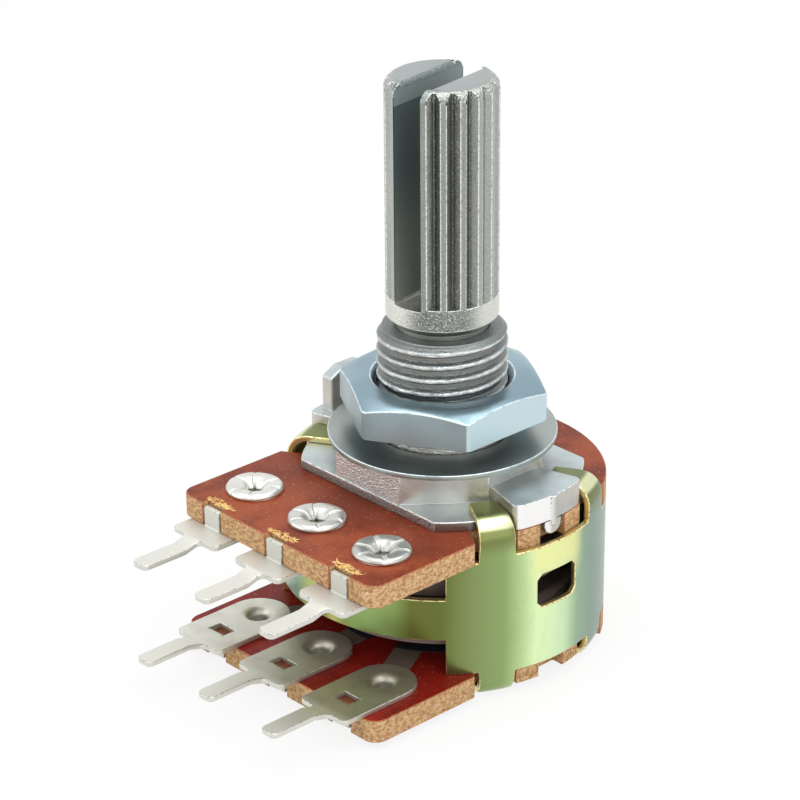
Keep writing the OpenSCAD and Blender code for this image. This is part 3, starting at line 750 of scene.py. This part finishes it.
def new_piece(name: str, made: Body, materials: list[Material],
              body: str) -> bpy.types.Object:
    """Turns a mesh into a piece that rides on a body.

    Args:
        name: The piece's name.
        made: The mesh, which is freed.
        materials: Its materials.
        body: The body that it rides on.

    Returns:
        The piece.
    """
    mesh = bpy.data.meshes.new(name)
    made.to_mesh(mesh)
    made.free()
    for material in materials:
        mesh.materials.append(material)
    piece = bpy.data.objects.new(name, mesh)
    bpy.context.scene.collection.objects.link(piece)
    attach(piece, body)
    LOG.info("built %s with %d faces", name, len(mesh.polygons))
    return piece


def dress(node: str, material: Material) -> None:
    """Gives a CAD node's object a material in every slot.

    Args:
        node: The node's name.
        material: The material.
    """
    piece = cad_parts[node]
    if not piece.material_slots:
        piece.data.materials.append(material)
    for slot in piece.material_slots:
        slot.material = material
    LOG.info("dressed %s in %s", node, material.name)


def round_edges(made: Body, edges: list[Edge], width: float,
                steps: int, material: int = 0) -> list[bmesh.types.BMFace]:
    """Rounds edges of a mesh.

    Args:
        made: The mesh.
        edges: The edges.
        width: The width taken off at each side.
        steps: The number of faces across an edge.
        material: The material slot of those faces.

    Returns:
        Those faces.
    """
    return bmesh.ops.bevel(made, geom=edges, offset=width, offset_type="OFFSET", segments=steps,
                           profile=0.5, affect="EDGES", clamp_overlap=False,
                           material=material)["faces"]


@dataclass(frozen=True)
class Softened:
    """A CAD piece's copy with its sharp edges taken off and finished on their own."""

    node: str
    body: str
    slot: str
    width: float
    name: str = ""
    sharp: float = math.radians(30)
    flat: float = math.radians(0.4)
    weld: float = 0.0001 * MM

    def mesh(self) -> Body:
        """Copies the CAD mesh and merges its flat triangles."""
        made = bmesh.new()
        made.from_mesh(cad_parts[self.node].data)
        for face in made.faces:
            face.material_index = 0
        bmesh.ops.remove_doubles(made, verts=made.verts, dist=self.weld)
        bmesh.ops.dissolve_limit(made, angle_limit=self.flat, verts=made.verts, edges=made.edges)
        return made

    def take_off_edges(self, made: Body) -> None:
        """Flattens the sharp edges; the outer ones get the second finish, a painted highlight,
        creases the first.
        """
        sharp = [e for e in made.edges if e.calc_face_angle(0) > self.sharp]
        for face in round_edges(made, sharp, self.width, 1, 1):
            if sum(e.calc_face_angle_signed(0) for e in face.edges) < 0:
                face.material_index = 0

    def build(self, face: Material, edge: Material,
              shape: Optional[Callable[[Body], None]] = None) -> bpy.types.Object:
        """Builds the copy, which takes the CAD piece's place.

        Args:
            face: The finish of its faces.
            edge: The finish of its edges.
            shape: A change that is made to the mesh before its edges are taken off.

        Returns:
            The piece.
        """
        made = self.mesh()
        low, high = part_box(self.node)
        if shape:
            shape(made)
        self.take_off_edges(made)
        for vert in made.verts:
            vert.co = Vector(min(max(c, a), b) for c, a, b in zip(vert.co, low, high))
        made.normal_update()
        leaning = [sum((f.normal * f.calc_area() for f in vert.link_faces), Vector()).normalized()
                   for vert in made.verts]
        for polygon in made.faces:
            polygon.smooth = True
        piece = new_piece(self.name or f"{self.node}_soft", made, [face, edge], self.body)
        piece.data.normals_split_custom_set_from_vertices(leaning)
        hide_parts(self.node)
        return piece


@dataclass
class Shaft:
    """The splined shaft with a rounded mouth to its slot."""

    mouth: float = 0.3 * MM
    mouth_steps: int = 4
    rim_angle: float = math.radians(60)
    near: float = 0.01 * MM

    def open_slot(self, made: Body) -> None:
        """Rounds the upper edges of the slot."""
        cos_t, sin_t = math.cos(SIZES.turn), math.sin(SIZES.turn)

        def on_wall(vert: bmesh.types.BMVert) -> bool:
            """Tells whether a corner lies on a wall of the slot, near the end."""
            across = abs(vert.co.x * cos_t + vert.co.y * sin_t)
            return abs(across - SIZES.slot_half) < self.near \
                and vert.co.z > SIZES.shaft_end - self.near
        rim = [e for e in made.edges if e.calc_face_angle(0) > self.rim_angle
               and all(on_wall(v) for v in e.verts)]
        round_edges(made, rim, self.mouth, self.mouth_steps)
        LOG.info("rounded %d edges of the slot", len(rim))

    def build(self) -> None:
        """Builds the shaft and keeps its softened corners on the round of its end."""
        edge = EdgeHighlight("shaft_edge", srgb(238, 240, 236), srgb(156, 160, 154), 0.14).build()
        piece = Softened("shaft", "spindle", "cast_zinc", 0.035 * MM).build(
            ShaftZinc("shaft_zinc").build(), edge, self.open_slot)
        for vert in piece.data.vertices:
            radius = math.hypot(vert.co.x, vert.co.y)
            if radius > SIZES.shaft_r:
                vert.co.x *= SIZES.shaft_r / radius
                vert.co.y *= SIZES.shaft_r / radius
            past = min(SIZES.tip_round, radius - SIZES.shaft_r + SIZES.tip_round)
            if past > 0:
                rise = math.sqrt(SIZES.tip_round ** 2 - past ** 2)
                vert.co.z = min(vert.co.z, SIZES.shaft_end - SIZES.tip_round + rise)


@dataclass
class Bush:
    """The front plate with a real thread cut into its bush."""

    minor_r: float = 3.2 * MM
    bore_r: float = 2.53 * MM
    core_r: float = 2.9 * MM
    pitch: float = 0.75 * MM
    core_reach: float = 3.6 * MM
    core_drop: float = 0.1 * MM
    wear_depth: float = 0.05 * MM
    wear_seed: int = 7
    peg_x: float = -6.5 * MM
    peg_angle: float = math.radians(20)
    peg_round: float = 0.14 * MM
    hidden_corner: tuple[float, float] = (-7.3 * MM, 1.3 * MM)
    corner_round: float = 0.4 * MM
    cast_steps: int = 4
    near: float = 0.03 * MM
    crest_share: float = 0.12
    root_share: float = 0.3
    steps_round: int = 180
    rows_per_turn: int = 16

    def soften_cast(self, made: Body) -> None:
        """Rounds the lobes' corners and the peg, whose one hidden corner stays as it is."""
        hidden_x, hidden_y = self.hidden_corner
        corner_y = SIZES.lobe_r * math.sin(SIZES.lobe_half)
        peg = [e for e in made.edges if e.calc_face_angle(0) > self.peg_angle
               and all(v.co.x < self.peg_x for v in e.verts)
               and max(v.co.z for v in e.verts) > 0
               and not all(v.co.x > hidden_x and v.co.y > hidden_y for v in e.verts)]
        corners = [e for e in made.edges
                   if all(abs(math.hypot(v.co.x, v.co.y) - SIZES.lobe_r) < self.near
                          and abs(abs(v.co.y) - corner_y) < 5 * self.near for v in e.verts)
                   and abs(e.verts[0].co.z - e.verts[1].co.z) > 10 * self.near]
        for edges, width in ((peg, self.peg_round), (corners, self.corner_round)):
            round_edges(made, edges, width, self.cast_steps)
        LOG.info("rounded %d peg edges and %d lobe corners", len(peg), len(corners))

    def turn_down(self, made: Body) -> None:
        """Rounds the casting, and turns the bush down to the core of its thread."""
        self.soften_cast(made)
        for vert in made.verts:
            radius = math.hypot(vert.co.x, vert.co.y)
            if vert.co.z > self.near / 3 and radius < self.core_reach:
                if radius > self.core_r:
                    vert.co.x *= self.core_r / radius
                    vert.co.y *= self.core_r / radius
                vert.co.z = min(vert.co.z, SIZES.bush_top - self.core_drop)

    def ridge(self, phase: float) -> float:
        """Gives the height of the thread's section.

        Args:
            phase: The place within a turn, from 0 to 1.

        Returns:
            A height from 0 in the root to 1 on the crest.
        """
        gap = abs((phase % 1) - 0.5) * 2
        flank = 1 - self.crest_share - self.root_share
        share = min(1.0, max(0.0, (gap - self.root_share) / flank))
        return share * share * (3 - 2 * share)

    def rings(self) -> Rings:
        """Gives the places of the thread's surface, ring by ring from its foot."""
        rng = random.Random(self.wear_seed)
        wear = [rng.uniform(0, 1) for _ in range(self.steps_round)]
        rows = int(SIZES.bush_top / self.pitch * self.rows_per_turn)
        rings = []
        for row in range(rows + 1):
            z = SIZES.bush_top * row / rows
            limit = SIZES.bush_r - max(0.0, z - SIZES.bush_top + SIZES.bush_chamfer)
            ring = []
            for step in range(self.steps_round):
                turn = step / self.steps_round
                height = self.ridge(z / self.pitch - turn)
                worn = wear[(step // 3 * 7 + row // 5) % self.steps_round]
                radius = self.minor_r + (SIZES.bush_r - self.minor_r) * height
                radius = min(limit, radius - self.wear_depth * worn * worn * height)
                angle = turn * math.tau
                ring.append((radius * math.cos(angle), radius * math.sin(angle), z))
            rings.append(ring)
        for z in (SIZES.bush_top, 0.0):
            rings.append([(self.bore_r * math.cos(math.tau * s / self.steps_round),
                           self.bore_r * math.sin(math.tau * s / self.steps_round), z)
                          for s in range(self.steps_round)])
        return rings

    def build(self) -> None:
        """Builds the plate and its thread."""
        zinc = CastZinc("cast_zinc").build()
        edge = EdgeHighlight("zinc_edge", srgb(240, 241, 242), srgb(158, 160, 160), 0.2).build()
        Softened("front_plate", "housing", "cast_zinc", 0.045 * MM, "plate_body").build(
            zinc, edge, self.turn_down)
        made = bmesh.new()
        close_rings(made, self.rings())
        new_piece("bush_thread", made, [zinc], "housing")


def close_rings(made: Body, rings: Rings) -> None:
    """Adds a closed skin through rings of places, from the last ring back to the first.

    Args:
        made: The mesh that it is added to.
        rings: Rings with the same number of places each.
    """
    verts = [[made.verts.new(place) for place in ring] for ring in rings]
    for low, high in zip(verts, verts[1:] + verts[:1]):
        for step, corner in enumerate(low):
            after = (step + 1) % len(low)
            made.faces.new((corner, low[after], high[after], high[step]))


@dataclass
class Crimps:
    """The eyelets' ends, rolled over the wafers and folded into petals round a star."""

    steps: int = 120
    petals: int = 6
    fold_half_mm: float = 0.06
    fold_from_mm: float = 1.42
    fold_over_mm: float = 0.5
    fold_spread: float = 0.16
    fold_drop: tuple[float, float] = (0.05, 0.2)
    wave_out: float = 0.05
    wave_up: float = 0.04
    reach_mm: float = 1.6
    rise_mm: float = 0.34
    profile: tuple[tuple[float, float], ...] = (
        (1.5, 0.0), (1.56, 0.07), (1.55, 0.18), (1.47, 0.28), (1.32, 0.335), (1.14, 0.325),
        (0.96, 0.315), (0.8, 0.285), (0.64, 0.2), (0.5, 0.08), (0.38, -0.08), (0.3, -0.3),
        (0.42, -0.3))

    def rings(self, centre: Vector, side: int, seed: int) -> Rings:
        """Gives the places of one crimp's surface.

        Args:
            centre: The middle of the eyelet on the wafer's face.
            side: 1 for the upper face of a wafer and -1 for the lower.
            seed: The seed of its irregularity.

        Returns:
            Its rings, from the outer foot to the hollow.
        """
        rng = random.Random(seed)
        start = rng.uniform(0, math.tau)
        folds = [start + (i + rng.uniform(-0.16, 0.16)) * math.tau / self.petals
                 for i in range(self.petals)]
        depths = [rng.uniform(0.7, 1.1) for _ in folds]
        waves = [(k, rng.uniform(0, math.tau), rng.uniform(0.3, 1) / k) for k in (3, 5, 8)]
        rings = []
        for radius, height in self.profile:
            inner = min(1.0, max(0.0, (self.fold_from_mm - radius) / self.fold_over_mm))
            drop = self.fold_drop[0] + inner * self.fold_drop[1]
            ring = []
            for step in range(self.steps):
                angle = math.tau * step / self.steps
                fold = sum(depth * math.exp(-(math.remainder(angle - at, math.tau)
                                              * max(radius, 0.5) / self.fold_half_mm) ** 2)
                           for at, depth in zip(folds, depths))
                wave = sum(size * math.sin(k * angle + shift) for k, shift, size in waves)
                r = min(self.reach_mm, radius + fold * inner * self.fold_spread
                        + wave * self.wave_out * (1 - inner))
                h = min(self.rise_mm, height - fold * drop * (height > 0)
                        + wave * self.wave_up * inner)
                ring.append((centre.x + side * r * MM * math.cos(angle),
                             centre.y + r * MM * math.sin(angle),
                             centre.z + side * h * MM))
            rings.append(ring)
        return rings

    def build(self) -> None:
        """Builds the crimps of both rows."""
        silver = Tin("crimp_tin", srgb(228, 228, 224), srgb(176, 176, 170), 0.24, 0.9).build()
        for name, side in (("front", 1), ("rear", -1)):
            low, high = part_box(f"{name}_wafer")
            made = bmesh.new()
            for i in (-1, 0, 1):
                centre = Vector((i * SIZES.pitch, SIZES.eyelet_y, high.z if side > 0 else low.z))
                close_rings(made, self.rings(centre, side, 20 + i + 5 * side))
            for face in made.faces:
                face.smooth = True
            new_piece(f"{name}_crimps", made, [silver], "housing")


@dataclass
class NotchFray:
    """Splintered laminate round the notches where the terminals' tabs are pressed in."""

    depth: float = 0.45 * MM
    half_width: float = 0.9 * MM
    splinters: int = 150
    reach: float = 0.42 * MM
    thickness: float = 0.12 * MM
    sunk: float = 0.08 * MM
    seed: int = 11

    def splinter(self, made: Body, root: Vector, along: Vector,
                 width: float) -> None:
        """Adds one tapered splinter.

        Args:
            made: The mesh that it is added to.
            root: Its foot.
            along: Its length and direction.
            width: Its width at the foot.
        """
        side = along.cross(Vector((0, 0, 1))).normalized() * width / 2
        lift = Vector((0, 0, width * 0.5))
        ring = [made.verts.new(root + offset) for offset in (side, lift, -side, -lift)]
        tip = made.verts.new(root + along)
        for first, second in zip(ring, ring[1:] + ring[:1]):
            made.faces.new((second, first, tip))
        made.faces.new(ring)

    def build(self) -> None:
        """Builds the fray of both wafers."""
        fibre = Moulded("frayed_fibre", srgb(206, 146, 70), srgb(255, 232, 160), 0.6).build()
        for name, side in (("front", 1), ("rear", -1)):
            low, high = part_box(f"{name}_wafer")
            surface = high.z if side > 0 else low.z
            made = bmesh.new()
            rng = random.Random(self.seed + side)
            for x in (-SIZES.pitch, 0, SIZES.pitch):
                for _ in range(self.splinters):
                    off = rng.uniform(-1, 1.15) * self.half_width
                    root = Vector((x + off, SIZES.tongue_y + self.depth
                                   + rng.uniform(-0.1, 1.0) * self.depth
                                   * (1 - 0.5 * abs(off) / self.half_width),
                                   surface - side * rng.uniform(0, 1) * self.sunk))
                    swing = rng.uniform(-1.3, 1.3)
                    length = self.reach * rng.uniform(0.3, 1)
                    along = Vector((math.sin(swing), math.cos(swing) * rng.choice((-0.4, 0.8)),
                                    side * rng.uniform(0.0, 0.2))) * length
                    self.splinter(made, root, along, self.thickness * rng.uniform(0.5, 1.5))
            new_piece(f"{name}_notch_fray", made, [fibre], "housing")


@dataclass
class Housing:
    """The frame, the wafers and their printed tracks."""

    def build(self) -> None:
        """Builds the housing's pieces."""
        gold = EdgeHighlight("chromate_edge", srgb(246, 234, 176), srgb(160, 138, 62), 0.16).build()
        Softened("frame", "housing", "chromated_steel", 0.07 * MM).build(
            Chromate("chromated_steel").build(), gold)
        carbon = Carbon("carbon_film").build()
        faces = (Laminate("front_laminate", srgb(154, 72, 38), srgb(114, 46, 26)),
                 Laminate("rear_laminate", srgb(160, 36, 26), srgb(122, 24, 18), 0.8))
        for gang, face in zip(("front", "rear"), faces):
            rim = EdgeHighlight(f"{gang}_rim", srgb(186, 112, 70), srgb(140, 66, 40), 0.2, 0.0).build()
            Softened(f"{gang}_wafer", "housing", "phenolic", 0.05 * MM).build(face.build(), rim)
            dress(f"{gang}_track", carbon)


@dataclass
class Terminals:
    """Both rows of tinned terminals."""

    def build(self) -> None:
        """Builds the terminals."""
        edge = EdgeHighlight("tin_edge", srgb(222, 221, 213), srgb(132, 131, 120), 0.25).build()
        rows = {"front": Tin("upper_tin", srgb(214, 214, 206), srgb(200, 199, 191), 0.42, 0.6),
                "rear": Tin("lower_tin", srgb(220, 220, 210), srgb(164, 158, 132), 0.36, 0.8)}
        for row, finish in rows.items():
            face = finish.build()
            for side in ("left", "centre", "right"):
                Softened(f"{row}_terminal_{side}", "housing", "tinned_brass",
                         0.035 * MM).build(face, edge)
        Crimps().build()
        NotchFray().build()


@dataclass
class Hardware:
    """The nut, the washer, the clip and the stop washer."""

    def build(self) -> None:
        """Builds the small metal pieces."""
        edge = EdgeHighlight("plating_edge", srgb(228, 240, 244), srgb(170, 192, 200), 0.5).build()
        Softened("mounting_nut", "nut", "zinc_plate", 0.05 * MM).build(
            NutPlating("zinc_plate").build(), edge)
        plated = PlatedSteel("washer_plate", srgb(174, 181, 178), srgb(154, 162, 159),
                             0.28).build()
        Softened("flat_washer", "housing", "washer_plate", 0.04 * MM).build(plated, edge)
        for node in ("shaft_clip", "stop_washer"):
            dress(node, plated)


@dataclass
class Rotors:
    """The rotors and their wipers inside the housing."""

    def build(self) -> None:
        """Dresses the pieces."""
        rotor = Moulded("moulding", srgb(128, 112, 104), srgb(142, 126, 118), 0.42).build()
        bronze = Moulded("spring_bronze", srgb(206, 166, 100), srgb(226, 190, 124), 0.22,
                         1.0).build()
        for gang in ("front", "rear"):
            dress(f"{gang}_rotor", rotor)
            dress(f"{gang}_wiper", bronze)


class Light(Enum):
    """The lamps: place in millimetres, size in millimetres, power in watts."""

    KEY = ((15.0, 10.0, 230.0), 260.0, 0.4)
    FILL = ((-120.0, -190.0, 90.0), 260.0, 0.14)
    SIDE = ((210.0, -70.0, 100.0), 260.0, 0.16)


@dataclass
class Studio:
    """Camera, lamps, white surroundings and a pale floor."""

    azimuth: float = 0.82647975
    elevation: float = 0.43354417
    roll: float = -0.00824026
    distance: float = 163.343 * MM
    focal_px: float = 3077.38
    frame_px: float = 800.0
    sensor_mm: float = 36.0
    clip_start: float = 0.005
    clip_end: float = 20.0
    aim_z: float = 3.0 * MM
    aim_right: float = -2.24681 * MM
    aim_up: float = -1.08924 * MM
    floor_half: float = 3.0
    world_level: float = 0.58
    floor_colour: Colour = (0.9, 0.9, 0.9)
    floor_glow: float = 0.86

    def camera(self) -> None:
        """Places the camera at the photograph's angle."""
        right = Vector((math.cos(self.azimuth), math.sin(self.azimuth), 0))
        back = Vector((math.sin(self.azimuth) * math.cos(self.elevation),
                       -math.cos(self.azimuth) * math.cos(self.elevation),
                       math.sin(self.elevation)))
        up = back.cross(right)
        cos_r, sin_r = math.cos(self.roll), math.sin(self.roll)
        right, up = cos_r * right + sin_r * up, cos_r * up - sin_r * right
        aim = Vector((0, 0, self.aim_z)) + self.aim_right * right + self.aim_up * up
        lens = bpy.data.cameras.new("camera")
        lens.sensor_width = self.sensor_mm
        lens.lens = self.focal_px / self.frame_px * self.sensor_mm
        lens.clip_start = self.clip_start
        lens.clip_end = self.clip_end
        camera = bpy.data.objects.new("camera", lens)
        bpy.context.scene.collection.objects.link(camera)
        camera.location = aim + self.distance * back
        axes = [[right[i], up[i], back[i]] for i in range(3)]
        camera.rotation_mode = "QUATERNION"
        camera.rotation_quaternion = Matrix(axes).to_quaternion()
        bpy.context.scene.camera = camera

    def lamps(self) -> None:
        """Adds the soft lamps, each aimed at the part."""
        for light in Light:
            place, size, power = light.value
            data = bpy.data.lights.new(light.name.lower(), "AREA")
            data.size = size * MM
            data.energy = power
            lamp = bpy.data.objects.new(light.name.lower(), data)
            lamp.location = Vector(place) * MM
            lamp.rotation_euler = (-lamp.location).to_track_quat("-Z", "Y").to_euler()
            bpy.context.scene.collection.objects.link(lamp)

    @staticmethod
    def seen(graph: Graph) -> Wire:
        """Gives 1 for rays that see the surroundings and 0 for rays that light the part."""
        camera, glossy, through = (graph.node("ShaderNodeLightPath", output=f"Is {kind} Ray")
                                   for kind in ("Camera", "Glossy", "Transmission"))
        return (camera + glossy + through).math("MINIMUM", 1.0)

    def world(self) -> None:
        """Makes the surroundings white where they are seen."""
        world = bpy.data.worlds.new("studio")
        bpy.context.scene.world = world
        g = Graph(world)
        strength = self.world_level + self.seen(g) * (1 - self.world_level)
        g.end(g.node("ShaderNodeBackground", None, {"Color": (1, 1, 1), "Strength": strength}),
              "ShaderNodeOutputWorld")

    def floor(self) -> None:
        """Lays a pale floor just under the part."""
        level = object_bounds()[0][2]
        half = self.floor_half
        mesh = bpy.data.meshes.new("floor")
        mesh.from_pydata([(-half, -half, level), (half, -half, level), (half, half, level),
                          (-half, half, level)], [], [(0, 1, 2, 3)])
        g = Graph(bpy.data.materials.new("pale_floor"))
        matt = g.node("ShaderNodeBsdfDiffuse", None, {"Color": self.floor_colour})
        glow = g.node("ShaderNodeEmission", None, {"Color": (1, 1, 1), "Strength": 1.0})
        g.end(g.node("ShaderNodeMixShader", None,
                     {0: self.seen(g) * self.floor_glow, 1: matt, 2: glow}))
        mesh.materials.append(g.owner)
        floor = bpy.data.objects.new("floor", mesh)
        bpy.context.scene.collection.objects.link(floor)
        floor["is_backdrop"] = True

    def build(self) -> None:
        """Builds the whole studio."""
        bpy.context.scene.view_settings.view_transform = "Standard"
        self.camera()
        self.lamps()
        self.world()
        self.floor()


def main() -> None:
    """Builds the studio, dresses the CAD nodes and adds the detailed pieces."""
    logging.basicConfig(level=logging.INFO, format="%(name)s: %(message)s")
    for part in (Studio(), Shaft(), Bush(), Hardware(), Housing(), Terminals(), Rotors()):
        part.build()


if __name__ == "__main__":
    main()
